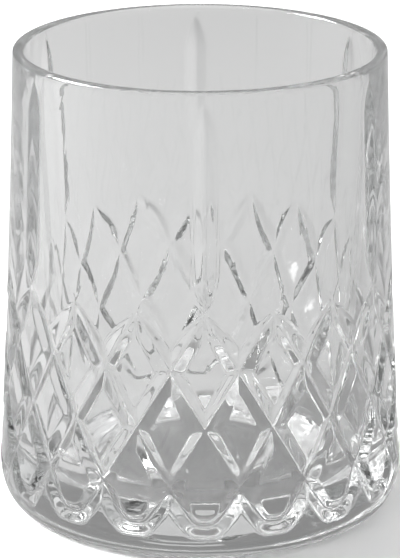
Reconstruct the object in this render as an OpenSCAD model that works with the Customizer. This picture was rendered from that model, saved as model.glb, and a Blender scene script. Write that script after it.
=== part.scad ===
// Pressed-glass whiskey tumbler: one moulded piece of clear glass.
// Millimetres, +Z up, origin on the axis at the level the glass stands on.
// A flared wall carries a belt of diamonds, tall slits rise from it to the
// rim, and a smooth rounded foot closes the belt below.

/* [Body] */
// Height from the table to the top of the rim
height = 95; // [92:0.5:100]
// Outside diameter at the rim
rim_d = 74.9; // [73:0.1:77]
// Outside diameter at the widest place, just above the heel
belly_d = 82.4; // [80:0.1:85]
// Share of the flare that comes from the bow of the wall, 0 is a straight cone
flare_bow = 0.37; // [0:0.01:0.6]
// Height of the rounded heel
heel_h = 9.4; // [8:0.1:11]
// How far the heel pulls in before it meets the table
heel_in = 5.6; // [4:0.1:7]
// Squareness of the heel curve, 2 is an ellipse
heel_square = 2.28; // [2:0.02:2.6]

/* [Inside] */
// Wall thickness at the rim
rim_wall = 2.3; // [1.8:0.05:2.6]
// Radius on the two edges of the rim
rim_round = 0.85; // [0.5:0.05:0.85]
// How much the inside radius shrinks for each millimetre down
inside_draft = 0.05; // [0.01:0.005:0.07]
// Thickness of the floor in the middle
floor_t = 8; // [7:0.5:16]
// Radius between the inside wall and the floor
floor_round = 9; // [3:0.5:10]

/* [Underside] */
// Diameter of the shallow recess inside the standing ring
recess_d = 48; // [40:1:62]
// Depth of that recess
recess_depth = 1.2; // [0.5:0.1:2]

/* [Diamond belt] */
// Diamonds around the glass
columns = 18; // [12:6:24]
// Height of the points where the belt starts
belt_top = 51.1; // [49:0.1:53]
// Height from one row of crossings to the next
row_pitch = 11.85; // [11.4:0.05:12.2]
// Depth of the cuts between the diamonds
cut_depth = 1.3; // [0.9:0.05:1.4]
// Height over which a cut runs out at its upper end
cut_run_out = 7; // [4:0.5:10]

/* [Slits] */
// Number of tall slits around the glass
slits = 6; // [3, 6]
// Distance from the rim to the tip of a slit
slit_below_rim = 2.5; // [2:0.1:5]
// Depth of a slit
slit_depth = 1.25; // [0.8:0.05:1.3]
// Half the width of a slit at the surface
slit_half_w = 2.35; // [2:0.05:2.8]
// Height over which a slit runs out at each end
slit_run_out = 7.8; // [5:0.1:10]

/* [Foot] */
// Height at which the cuts turn round under the lowest diamonds
turn_z = 8; // [7.5:0.1:9]
// Depth of the cuts where they turn
turn_depth = 1.1; // [0.8:0.05:1.3]

/* [Hidden] */
$fn = 144;
rim_r = rim_d / 2;
belly_r = belly_d / 2;
inside_rim_r = rim_r - rim_wall;
glass_colour = [0.86, 0.89, 0.90, 0.45];

// Outside radius of the plain wall at height z
function wall_r(z) =
  let (t = (height - z) / (height - heel_h))
  rim_r + (belly_r - rim_r) * ((1 - flare_bow) * t + flare_bow * t * t);

// Outside radius of the heel curve at height z
function heel_r(z) =
  belly_r - heel_in
  + heel_in * pow(1 - pow(1 - z / heel_h, heel_square), 1 / heel_square);

// Outside radius with no pattern, from the table up to the rounding of the rim
function plain_r(z) =
  z < heel_h ? heel_r(z)
  : z < height - rim_round ? wall_r(z)
  : rim_r - rim_round + sqrt(max(0, pow(rim_round, 2) - pow(z - height + rim_round, 2)));

// How much of its full depth a cut has, t being 0 at its tip and 1 where it is full
function run_in(t) = 1 - pow(1 - min(1, max(0, t)), 2);

// Distance to the nearest whole number
function off_whole(x) = abs(x - round(x));

// The cuts lie on two families of slanted lines, and this is the distance in
// diamond widths from the nearest line of either
function belt_distance(a, z) =
  let (u = a * columns / 360, v = (belt_top - z) / (2 * row_pitch))
  min(off_whole(u + v), off_whole(u - v));

// Depth of the slanted cuts: a third of each half diamond is taken by the cut
grid_steps = 3;
cut_share = 1 / (2 * grid_steps);
cut_lean = row_pitch / (belly_r * PI / columns);
cut_half_w = cut_share * 2 * row_pitch * cos(atan(cut_lean));
function belt_cut(a, z) =
  cut_depth * (run_in((belt_top - z) / cut_run_out) - belt_distance(a, z) / cut_share);

// Below the last crossings each pair of cuts turns round under a diamond. The
// turn is the slanted lines with their corner rounded off.
last_cross = belt_top - 3 * row_pitch;
line_corner = last_cross - row_pitch;
function turn_line(away) =
  line_corner + pow(pow(row_pitch * away, 4) + pow(turn_z - line_corner, 4), 1 / 4);
function turn_lean(away) =
  atan(pow(row_pitch * away / (turn_line(away) - line_corner), 3) * cut_lean);
function turn_cut(a, z) =
  let (away = 2 * off_whole(a * columns / 360),
       full = turn_depth + (cut_depth - turn_depth) * pow(away, 2))
  full - cut_depth * abs(z - turn_line(away)) * cos(turn_lean(away)) / cut_half_w;

// Depth of the slits
slit_tip = height - slit_below_rim;
function slit_cut(a, z) =
  let (full = min(run_in((slit_tip - z) / slit_run_out), run_in((z - belt_top) / slit_run_out)),
       away = off_whole(a * slits / 360) * 360 / slits * PI / 180 * wall_r(z))
  slit_depth * (full - away / slit_half_w);

// Outside radius at angle a and height z
function outside_r(a, z) =
  plain_r(z) - max(0, slit_cut(a, z), z > last_cross ? belt_cut(a, z) : turn_cut(a, z));

// Heights of the rings of points, from the table up
row_step = row_pitch / grid_steps;
belt_rows = 3 * grid_steps;
smooth_foot_h = 5;
heel_rows = [for (i = [0 : 4]) smooth_foot_h * pow(i / 4, 2)];
turn_rows = [for (i = [0 : 3]) turn_z + (last_cross - turn_z) * i / 4];
foot_rows = concat([(smooth_foot_h + turn_z) / 2], turn_rows);
belt_heights = [for (i = [0 : belt_rows]) last_cross + i * row_step];
slit_low_rows = [for (i = [1 : 3]) belt_top + slit_run_out * i / 3];
slit_high_rows = [for (i = [0 : 3]) slit_tip - slit_run_out * (1 - i / 3)];
rim_rows = [for (i = [0 : 2]) height - rim_round + rim_round * sin(45 * i)];
heights = concat(heel_rows, foot_rows, belt_heights, slit_low_rows, slit_high_rows, rim_rows);
belt_first = len(heel_rows) + len(foot_rows);

// Angles of the points around a ring. Beside a slit the points sit on its edge.
around = columns * 2 * grid_steps;
per_slit = around / slits;
function ring_angle(i, z) =
  let (side = (i + per_slit / 2) % per_slit - per_slit / 2,
       edge = slit_half_w / wall_r(z) * 180 / PI - 360 / around)
  i * 360 / around + (z > belt_top && abs(side) == 1 ? side * edge : 0);

skin_points = [
  for (z = heights)
    for (i = [0 : around - 1])
      let (a = ring_angle(i, z), r = outside_r(a, z))
      [r * sin(a), -r * cos(a), z]
];

// Index of point i of ring j
function at(i, j) = j * around + (i + around) % around;

// Steps from the nearest slanted line, on the grid of points
function steps_off(n) =
  let (m = (n % (2 * grid_steps) + 2 * grid_steps) % (2 * grid_steps))
  min(m, 2 * grid_steps - m);

// True where a square of the grid is split along a line that rises with the angle
function splits_up(i, j) =
  let (down = belt_first + belt_rows - j)
  steps_off(i + down) < steps_off(i + 1 - down + 2 * grid_steps);

skin_faces = concat(
  [for (j = [0 : len(heights) - 2], i = [0 : around - 1])
    splits_up(i, j) ? [at(i, j), at(i + 1, j + 1), at(i + 1, j)]
    : [at(i, j), at(i, j + 1), at(i + 1, j)]],
  [for (j = [0 : len(heights) - 2], i = [0 : around - 1])
    splits_up(i, j) ? [at(i, j), at(i, j + 1), at(i + 1, j + 1)]
    : [at(i + 1, j), at(i, j + 1), at(i + 1, j + 1)]],
  [[for (i = [0 : around - 1]) at(i, 0)]],
  [[for (i = [around - 1 : -1 : 0]) at(i, len(heights) - 1)]]
);

// How far the shapes that are cut away reach past the glass
over = 5;

// Solid block with the whole outside of the glass
module skin() {
  polyhedron(points = skin_points, faces = skin_faces, convexity = 6);
}

// Inside radius at height z
function inside_r(z) = inside_rim_r - inside_draft * (height - z);

// Space inside the glass, with a rounded corner at the floor and a rounded rim
corner_z = floor_t + floor_round;
arc_steps = 6;
module cavity() {
  rotate_extrude()
    polygon(concat(
      [[0, floor_t]],
      [for (i = [arc_steps : -1 : 0])
        let (a = 90 * i / arc_steps)
        [inside_r(corner_z) - floor_round * (1 - cos(a)), corner_z - floor_round * sin(a)]],
      [for (i = [0 : arc_steps])
        let (a = 90 * i / arc_steps)
        [inside_rim_r + rim_round * (1 - cos(a)), height - rim_round * (1 - sin(a))]],
      [[inside_rim_r + rim_round, height + over], [0, height + over]]
    ));
}

// Shallow recess that leaves a ring to stand on
module recess() {
  rotate_extrude()
    polygon([[0, -over], [recess_d / 2 + over, -over], [recess_d / 2 - recess_depth, recess_depth],
             [0, recess_depth]]);
}

// The whole glass
module tumbler_glass() {
  color(glass_colour)
    difference() {
      skin();
      cavity();
      recess();
    }
}

tumbler_glass();
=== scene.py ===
"""Looks of a pressed-glass whiskey tumbler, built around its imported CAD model.

The glass is one piece. Its CAD solid is faceted, so a finer mesh of the same
surface stands for it, with the soft edges that a mould leaves.
"""

import math

import bpy
import numpy as np
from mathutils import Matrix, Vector


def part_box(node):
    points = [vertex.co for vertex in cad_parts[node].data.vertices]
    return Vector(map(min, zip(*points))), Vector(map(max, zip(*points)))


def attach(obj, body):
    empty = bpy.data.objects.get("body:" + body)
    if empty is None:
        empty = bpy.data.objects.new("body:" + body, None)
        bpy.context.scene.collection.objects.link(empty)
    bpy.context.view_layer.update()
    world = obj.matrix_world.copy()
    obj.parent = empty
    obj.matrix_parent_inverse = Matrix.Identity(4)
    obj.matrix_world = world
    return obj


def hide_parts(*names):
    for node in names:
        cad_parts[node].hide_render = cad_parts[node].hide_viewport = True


MM = 0.001
NODE = "tumbler_glass"

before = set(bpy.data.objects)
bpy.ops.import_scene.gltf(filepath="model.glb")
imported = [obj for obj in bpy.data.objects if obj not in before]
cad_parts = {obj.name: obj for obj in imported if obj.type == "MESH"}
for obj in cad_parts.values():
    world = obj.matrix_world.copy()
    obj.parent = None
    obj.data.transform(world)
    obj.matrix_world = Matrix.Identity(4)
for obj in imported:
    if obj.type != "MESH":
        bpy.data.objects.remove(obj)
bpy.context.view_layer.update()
low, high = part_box(NODE)

# ---------------------------------------------------------------- dimensions

# The body, with the CAD model's own values
HEIGHT = high.z - low.z
BELLY_R = (high.x - low.x) / 2
RIM_R = 37.45 * MM
FLARE_BOW = 0.37
HEEL_H = 9.4 * MM
HEEL_IN = 5.6 * MM
HEEL_SQUARE = 2.28

# The inside and the underside
RIM_WALL = 2.3 * MM
RIM_ROUND = 0.85 * MM
INSIDE_DRAFT = 0.05
FLOOR_T = 8 * MM
FLOOR_ROUND = 9 * MM
RECESS_R = 24 * MM
RECESS_DEPTH = 1.2 * MM

# The belt of diamonds
COLUMNS = 18
BELT_TOP = 51.1 * MM
BELT_ROWS = 3
ROW_PITCH = 11.85 * MM
CUT_DEPTH = 1.3 * MM
CUT_HALF_W = 2.2 * MM
CUT_RUN_OUT = 7 * MM
TURN_Z = 8 * MM
TURN_DEPTH = 1.1 * MM
TURN_SQUARE = 4

# The slits
SLITS = 6
SLIT_TIP = HEIGHT - 2.5 * MM
SLIT_DEPTH = 1.25 * MM
SLIT_HALF_W = 2.35 * MM
SLIT_RUN_OUT = 7.8 * MM

# The round edge between the recess and the standing ring
RECESS_LIP = 2.4 * MM
LIP_SHARPNESS = 1.5

# How soft the mould leaves the edges and the bottoms of the cuts
EDGE_SOFT = 0.16 * MM
RIDGE_SOFT = 0.08 * MM
VALLEY_SOFT = 0.10 * MM

# ---------------------------------------------------------------- the surface


def wall_r(z):
    """Outside radius of the plain wall."""
    t = (HEIGHT - z) / (HEIGHT - HEEL_H)
    return RIM_R + (BELLY_R - RIM_R) * ((1 - FLARE_BOW) * t + FLARE_BOW * t * t)


def heel_r(z):
    """Outside radius of the rounded heel."""
    up = np.clip(1 - z / HEEL_H, 0, 1)
    return BELLY_R - HEEL_IN + HEEL_IN * (1 - up**HEEL_SQUARE) ** (1 / HEEL_SQUARE)


def plain_r(z):
    """Outside radius with no pattern."""
    over = np.clip(z - HEIGHT + RIM_ROUND, 0, RIM_ROUND)
    rim = RIM_R - RIM_WALL / 2 * (1 - np.sqrt(1 - (over / RIM_ROUND) ** 2))
    body = np.where(z < HEEL_H, heel_r(z), wall_r(z))
    return np.where(z < HEIGHT - RIM_ROUND, body, rim)


def run_in(t):
    """Share of its full depth that a cut has, t being 0 at its tip and 1 where it is full."""
    return 1 - (1 - np.clip(t, 0, 1)) ** 2


def off_whole(x):
    """Distance to the nearest whole number."""
    return np.abs(x - np.round(x))


def soft_max(a, b, soft):
    """The larger of two, with the corner between them rounded over a width of soft."""
    near = np.maximum(soft - np.abs(a - b), 0) / soft
    return np.maximum(a, b) + near**2 * soft / 4


def soft_abs(x, soft):
    """The size of x, with a rounded bottom."""
    return np.sqrt(x * x + soft * soft)


CUT_LEAN = ROW_PITCH / (BELLY_R * math.pi / COLUMNS)
LAST_CROSS = BELT_TOP - BELT_ROWS * ROW_PITCH
LINE_CORNER = LAST_CROSS - ROW_PITCH
CUT_SLOPE = CUT_DEPTH / CUT_HALF_W
LINE_WIDTH = 2 * ROW_PITCH * math.cos(math.atan(CUT_LEAN))


def line_cut(phase, z):
    """Depth of one family of slanted cuts, positive inside a cut."""
    away = soft_abs(off_whole(phase) * LINE_WIDTH, VALLEY_SOFT)
    return CUT_DEPTH * run_in((BELT_TOP - z) / CUT_RUN_OUT) - CUT_SLOPE * away


def belt_cut(angle, z):
    """Depth of both families of slanted cuts."""
    u = angle * COLUMNS / (2 * math.pi)
    v = (BELT_TOP - z) / (2 * ROW_PITCH)
    return soft_max(line_cut(u + v, z), line_cut(u - v, z), RIDGE_SOFT)


def turn_cut(angle, z):
    """Depth of the cuts where each pair turns round under a lowest diamond."""
    away = 2 * off_whole(angle * COLUMNS / (2 * math.pi))
    drop = TURN_Z - LINE_CORNER
    rise = ((ROW_PITCH * away) ** TURN_SQUARE + drop**TURN_SQUARE) ** (1 / TURN_SQUARE)
    line = LINE_CORNER + rise
    lean = np.arctan((ROW_PITCH * away / rise) ** (TURN_SQUARE - 1) * CUT_LEAN)
    full = TURN_DEPTH + (CUT_DEPTH - TURN_DEPTH) * away**2
    return full - CUT_SLOPE * soft_abs((z - line) * np.cos(lean), VALLEY_SOFT)


def slit_cut(angle, z):
    """Depth of the tall slits."""
    upper = run_in((SLIT_TIP - z) / SLIT_RUN_OUT)
    lower = run_in((z - BELT_TOP) / SLIT_RUN_OUT)
    away = off_whole(angle * SLITS / (2 * math.pi)) * 2 * math.pi / SLITS * wall_r(z)
    slope = SLIT_DEPTH / SLIT_HALF_W
    return SLIT_DEPTH * np.minimum(upper, lower) - slope * soft_abs(away, VALLEY_SOFT)


def outside_r(angle, z):
    """Outside radius of the glass."""
    pattern = np.where(z > LAST_CROSS, belt_cut(angle, z), turn_cut(angle, z))
    cut = soft_max(pattern, slit_cut(angle, z), RIDGE_SOFT)
    return plain_r(z) - soft_max(cut, 0, EDGE_SOFT)


def inside_r(z):
    """Inside radius of the wall."""
    return RIM_R - RIM_WALL - INSIDE_DRAFT * (HEIGHT - z)


# Faint upright waves that the plunger leaves, as (waves around, height of a wave, turn)
WAVES = ((7, 0.04 * MM, 0.4), (16, 0.014 * MM, 2.1), (29, 0.007 * MM, 1.3), (47, 0.003 * MM, 0.2))

# How far from the rim and from the floor the waves have their full height
RIM_FADE = 6 * MM
FLOOR_FADE = 12 * MM


def waves(z):
    """Faint upright waves of the inside wall, which fade out at the rim and at the floor."""
    fade = np.clip((HEIGHT - z) / RIM_FADE, 0, 1) * np.clip((z - FLOOR_T) / FLOOR_FADE, 0, 1)
    return fade * sum(height * np.sin(count * ANGLES + turn) for count, height, turn in WAVES)


# ------------------------------------------------------------------- the mesh

# Points along each side of a diamond and around a ring, and the angles of a ring's points
STEPS = 16
AROUND = COLUMNS * 2 * STEPS
ANGLES = np.arange(AROUND) * 2 * math.pi / AROUND

# Steps over a small round edge, and over the round corner between the inside wall and the floor
EDGE_STEPS = 6
CORNER_STEPS = 9

# Heights of the ring above the smooth foot, of the first above the slits and of the first
# inside under the rim
FOOT_LOW = 4.4 * MM
SLIT_TOP = SLIT_TIP + 0.4 * MM
CROWN_LOW = HEIGHT - 2 * MM

# Radius of the innermost rings, and how far in from its round corner the floor's first ring is
MIDDLE_R = 0.5 * MM
FLOOR_IN = 2 * MM


def spaced(start, stop, count, power=1):
    """Numbers from start to just short of stop, closer together near start as power grows."""
    return [start + (stop - start) * (i / count) ** power for i in range(count)]


def quarter(count):
    """Sine and cosine at count + 1 even steps through a quarter turn."""
    turns = [math.pi / 2 * i / count for i in range(count + 1)]
    return [(math.sin(t), math.cos(t)) for t in turns]


def underside():
    """Rings from the middle of the recess out to the standing ring, as (radius, height)."""
    lip_start = RECESS_R - RECESS_LIP
    rings = [(r, RECESS_DEPTH) for r in spaced(MIDDLE_R, lip_start, 5)]
    rings += [(lip_start + RECESS_LIP * s, RECESS_DEPTH * c**LIP_SHARPNESS) for s, c in quarter(EDGE_STEPS)]
    return rings


def outside():
    """Rings of the patterned outside, from the table up, and the number of the belt's first."""
    heights = spaced(0, FOOT_LOW, 9, 2)
    heights += spaced(FOOT_LOW, LAST_CROSS, 17)
    belt_first = len(heights)
    heights += spaced(LAST_CROSS, BELT_TOP, BELT_ROWS * STEPS)
    heights += spaced(BELT_TOP, BELT_TOP + SLIT_RUN_OUT, 10)
    heights += spaced(BELT_TOP + SLIT_RUN_OUT, SLIT_TIP - SLIT_RUN_OUT, 8)
    heights += spaced(SLIT_TIP - SLIT_RUN_OUT, SLIT_TOP, 14)
    heights += [SLIT_TOP]
    heights += [HEIGHT - RIM_ROUND * (1 - s) for s, c in quarter(EDGE_STEPS)]
    return [(outside_r(ANGLES, z), z) for z in heights], belt_first


def inside():
    """Rings from the rim down the inside wall to the middle of the floor."""
    crown_r = RIM_R - RIM_WALL / 2
    corner_z = FLOOR_T + FLOOR_ROUND
    corner_r = inside_r(corner_z)
    crown = quarter(EDGE_STEPS)[1:]
    rings = [(crown_r - RIM_WALL / 2 * s, HEIGHT - RIM_ROUND * (1 - c)) for s, c in crown]
    rings += [(inside_r(z) + waves(z), z) for z in spaced(CROWN_LOW, corner_z, 12)]
    corner = quarter(CORNER_STEPS)
    rings += [(corner_r - FLOOR_ROUND * (1 - c), corner_z - FLOOR_ROUND * s) for s, c in corner]
    rings += [(r, FLOOR_T) for r in spaced(corner_r - FLOOR_ROUND - FLOOR_IN, MIDDLE_R, 4)]
    rings += [(MIDDLE_R, FLOOR_T)]
    return rings


def steps_off(n):
    """Steps from point n of a ring to the nearest slanted line."""
    m = n % (2 * STEPS)
    return np.minimum(m, 2 * STEPS - m)


def glass_mesh():
    """The whole glass as one closed skin."""
    below = underside()
    patterned, belt_first = outside()
    rings = below + patterned + inside()
    last_belt_row = len(below) + belt_first + BELT_ROWS * STEPS
    points = []
    for radius, z in rings:
        r = np.broadcast_to(radius, ANGLES.shape)
        points.append(np.column_stack((r * np.sin(ANGLES), -r * np.cos(ANGLES), np.full(AROUND, z))))
    points.append(np.array([[0, 0, rings[0][1]], [0, 0, rings[-1][1]]]))
    i = np.arange(AROUND)
    after = (i + 1) % AROUND
    faces = []
    for j in range(len(rings) - 1):
        # Squares are split along the slanted line nearest to them
        down = last_belt_row - j
        rises = steps_off(i + down) < steps_off(i + 1 - down)
        a, b, c, d = j * AROUND + i, j * AROUND + after, (j + 1) * AROUND + after, (j + 1) * AROUND + i
        faces.append(np.column_stack((a, b, np.where(rises, c, d))))
        faces.append(np.column_stack((np.where(rises, a, b), c, d)))
    start = (len(rings) - 1) * AROUND
    bottom = len(rings) * AROUND
    faces.append(np.column_stack((after, i, np.full(AROUND, bottom))))
    faces.append(np.column_stack((start + i, start + after, np.full(AROUND, bottom + 1))))
    mesh = bpy.data.meshes.new("tumbler")
    mesh.from_pydata(np.concatenate(points).tolist(), [], np.concatenate(faces).tolist())
    mesh.validate()
    mesh.shade_smooth()
    return mesh


scene = bpy.context.scene
glass = bpy.data.objects.new("tumbler", glass_mesh())
scene.collection.objects.link(glass)
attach(glass, "root")
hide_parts(NODE)

# ------------------------------------------------------------------ materials

# Clear glass, with a neutral tint that shows only where it is thick
GLASS_COLOUR = (0.992, 0.994, 0.994, 1)
GLASS_IOR = 1.52
TINT_COLOUR = (0.9, 0.904, 0.903, 1)
TINT_DENSITY = 24

# The slight ripple of its surface
RIPPLE_SCALE = 180
RIPPLE_DETAIL = 2
RIPPLE_STRENGTH = 0.08
RIPPLE_HEIGHT = 0.1 * MM

# Faint smears, where the noise is between two levels and above
SMEAR_SCALE = 45
SMEAR_DETAIL = 4
SMEAR_START = 0.45
SMEAR_FULL = 0.7
SMEAR_ROUGHNESS = 0.03

WHITE = (1, 1, 1, 1)


def new_material(name):
    """A material with nodes, its tree and its Principled shader."""
    material = bpy.data.materials.new(name)
    material.use_nodes = True
    tree = material.node_tree
    return material, tree, tree.nodes["Principled BSDF"]


def map_range(tree, source, in_low, in_high, out_low, out_high):
    """A smooth step of a value from one range to another."""
    node = tree.nodes.new("ShaderNodeMapRange")
    node.interpolation_type = "SMOOTHSTEP"
    tree.links.new(source, node.inputs["Value"])
    node.inputs["From Min"].default_value = in_low
    node.inputs["From Max"].default_value = in_high
    node.inputs["To Min"].default_value = out_low
    node.inputs["To Max"].default_value = out_high
    return node.outputs["Result"]


def noise(tree, place, scale, detail):
    """Noise of a scale and a detail."""
    node = tree.nodes.new("ShaderNodeTexNoise")
    node.inputs["Scale"].default_value = scale
    node.inputs["Detail"].default_value = detail
    tree.links.new(place, node.inputs["Vector"])
    return node.outputs["Fac"]


def clear_glass():
    """The material of the whole glass."""
    material, tree, shader = new_material("clear_glass")
    shader.inputs["Base Color"].default_value = GLASS_COLOUR
    shader.inputs["Transmission Weight"].default_value = 1
    shader.inputs["IOR"].default_value = GLASS_IOR
    tint = tree.nodes.new("ShaderNodeVolumeAbsorption")
    tint.inputs["Color"].default_value = TINT_COLOUR
    tint.inputs["Density"].default_value = TINT_DENSITY
    tree.links.new(tint.outputs[0], tree.nodes["Material Output"].inputs["Volume"])
    place = tree.nodes.new("ShaderNodeTexCoord").outputs["Object"]
    bump = tree.nodes.new("ShaderNodeBump")
    bump.inputs["Strength"].default_value = RIPPLE_STRENGTH
    bump.inputs["Distance"].default_value = RIPPLE_HEIGHT
    tree.links.new(noise(tree, place, RIPPLE_SCALE, RIPPLE_DETAIL), bump.inputs["Height"])
    tree.links.new(bump.outputs[0], shader.inputs["Normal"])
    smear = noise(tree, place, SMEAR_SCALE, SMEAR_DETAIL)
    roughness = map_range(tree, smear, SMEAR_START, SMEAR_FULL, 0.0, SMEAR_ROUGHNESS)
    tree.links.new(roughness, shader.inputs["Roughness"])
    return material


glass.data.materials.append(clear_glass())

# ---------------------------------------------------------------------- floor

FLOOR_SIDE = 6.0
FLOOR_GAP = 0.03 * MM
FLOOR_ROUGHNESS = 0.9

# Paleness of the floor and its faint painted glow, first as the glass shows it and then as the camera
# sees it beside the glass; the darker paleness that the glass shows is painted shade
FLOOR_PALENESS_AND_PAINTED_SHADE = (0.25, 0.95)
FLOOR_PAINTED_GLOW = (0.18, 0.0)


def plain_floor():
    """The material of the floor, the same all over, with painted shade and a painted glow where the glass
    shows it.
    """
    material, tree, shader = new_material("floor")
    shader.inputs["Roughness"].default_value = FLOOR_ROUGHNESS
    shader.inputs["Specular IOR Level"].default_value = 0.0
    shader.inputs["Emission Color"].default_value = WHITE
    # Rays that come through the glass see the floor darker (painted shade) and glowing (painted glow)
    seen = tree.nodes.new("ShaderNodeLightPath").outputs["Is Camera Ray"]
    for name, levels in (("Base Color", FLOOR_PALENESS_AND_PAINTED_SHADE), ("Emission Strength", FLOOR_PAINTED_GLOW)):
        tree.links.new(map_range(tree, seen, 0.0, 1.0, *levels), shader.inputs[name])
    return material


half = FLOOR_SIDE / 2
corners = [(x, y, -FLOOR_GAP) for x, y in ((-half, -half), (half, -half), (half, half), (-half, half))]
floor_mesh = bpy.data.meshes.new("floor")
floor_mesh.from_pydata(corners, [], [(0, 1, 2, 3)])
floor_mesh.materials.append(plain_floor())
floor = bpy.data.objects.new("floor", floor_mesh)
scene.collection.objects.link(floor)

# ------------------------------------------------------------------------ sky

# Strength of the sky near the horizon in front of the glass and behind it, and the two
# values of Y, in a direction of length 1, between which the one turns into the other
HORIZON_GLOW = (0.03, 0.3)
HORIZON_TURN = (-0.2, 0.8)

# Strength of the sky overhead, and the values of Z between which it grows to that
TOP_GLOW = 1.0
TOP_TURN = (0.3, 0.9)

# Strength of the sky where the camera sees it beside the glass
SEEN_GLOW = 1.0


def blend(tree, share, first, last):
    """A value that goes from the first to a last number as the share goes from 0 to 1."""
    node = tree.nodes.new("ShaderNodeMix")
    node.data_type = "FLOAT"
    tree.links.new(share, node.inputs[0])
    tree.links.new(first, node.inputs[2])
    node.inputs[3].default_value = last
    return node.outputs[0]


world = bpy.data.worlds.new("studio")
scene.world = world
world.use_nodes = True
tree = world.node_tree
axes = tree.nodes.new("ShaderNodeSeparateXYZ")
tree.links.new(tree.nodes.new("ShaderNodeTexCoord").outputs["Generated"], axes.inputs[0])
horizon = map_range(tree, axes.outputs["Y"], *HORIZON_TURN, *HORIZON_GLOW)
overhead = map_range(tree, axes.outputs["Z"], *TOP_TURN, 0.0, 1.0)
sky = blend(tree, overhead, horizon, TOP_GLOW)
seen = tree.nodes.new("ShaderNodeLightPath").outputs["Is Camera Ray"]
background = tree.nodes["Background"]
background.inputs["Color"].default_value = WHITE
tree.links.new(blend(tree, seen, sky, SEEN_GLOW), background.inputs["Strength"])

# ----------------------------------------------------------- light and camera

# One soft square light at the left, a little behind the glass
KEY_AZIMUTH = -98
KEY_RISE = 42
KEY_DISTANCE = 0.82
KEY_SIDE = 0.36
KEY_POWER = 14.5

CAMERA_AZIMUTH = -1.4
CAMERA_RISE = 17.63
CAMERA_DISTANCE = 710.6 * MM
AIM_Z = 46.1 * MM
LENS = 225
SENSOR = 36
CLIP_START = 0.01
CLIP_END = 20


def towards(azimuth, rise):
    """Direction from the glass at so many degrees round from the front and above the horizon."""
    a, e = math.radians(azimuth), math.radians(rise)
    return Vector((math.sin(a) * math.cos(e), -math.cos(a) * math.cos(e), math.sin(e)))


def stand(name, data, aim, direction, distance):
    """Puts a light or a camera at a distance from the point that it looks at."""
    thing = bpy.data.objects.new(name, data)
    scene.collection.objects.link(thing)
    thing.location = aim + direction * distance
    thing.rotation_mode = "QUATERNION"
    thing.rotation_quaternion = direction.to_track_quat("Z", "Y")
    return thing


key = bpy.data.lights.new("key", "AREA")
key.size = KEY_SIDE
key.energy = KEY_POWER
stand("key", key, Vector((0, 0, 0)), towards(KEY_AZIMUTH, KEY_RISE), KEY_DISTANCE)

lens = bpy.data.cameras.new("camera")
lens.sensor_width = SENSOR
lens.lens = LENS
lens.clip_start = CLIP_START
lens.clip_end = CLIP_END
aim = Vector((0, 0, AIM_Z))
view = towards(CAMERA_AZIMUTH, CAMERA_RISE)
bpy.context.scene.camera = stand("camera", lens, aim, view, CAMERA_DISTANCE)

# Enough bounces for light that crosses many walls of glass
BOUNCES = 64
scene.view_settings.view_transform = "Standard"
scene.cycles.max_bounces = BOUNCES
scene.cycles.transmission_bounces = BOUNCES
scene.cycles.glossy_bounces = BOUNCES
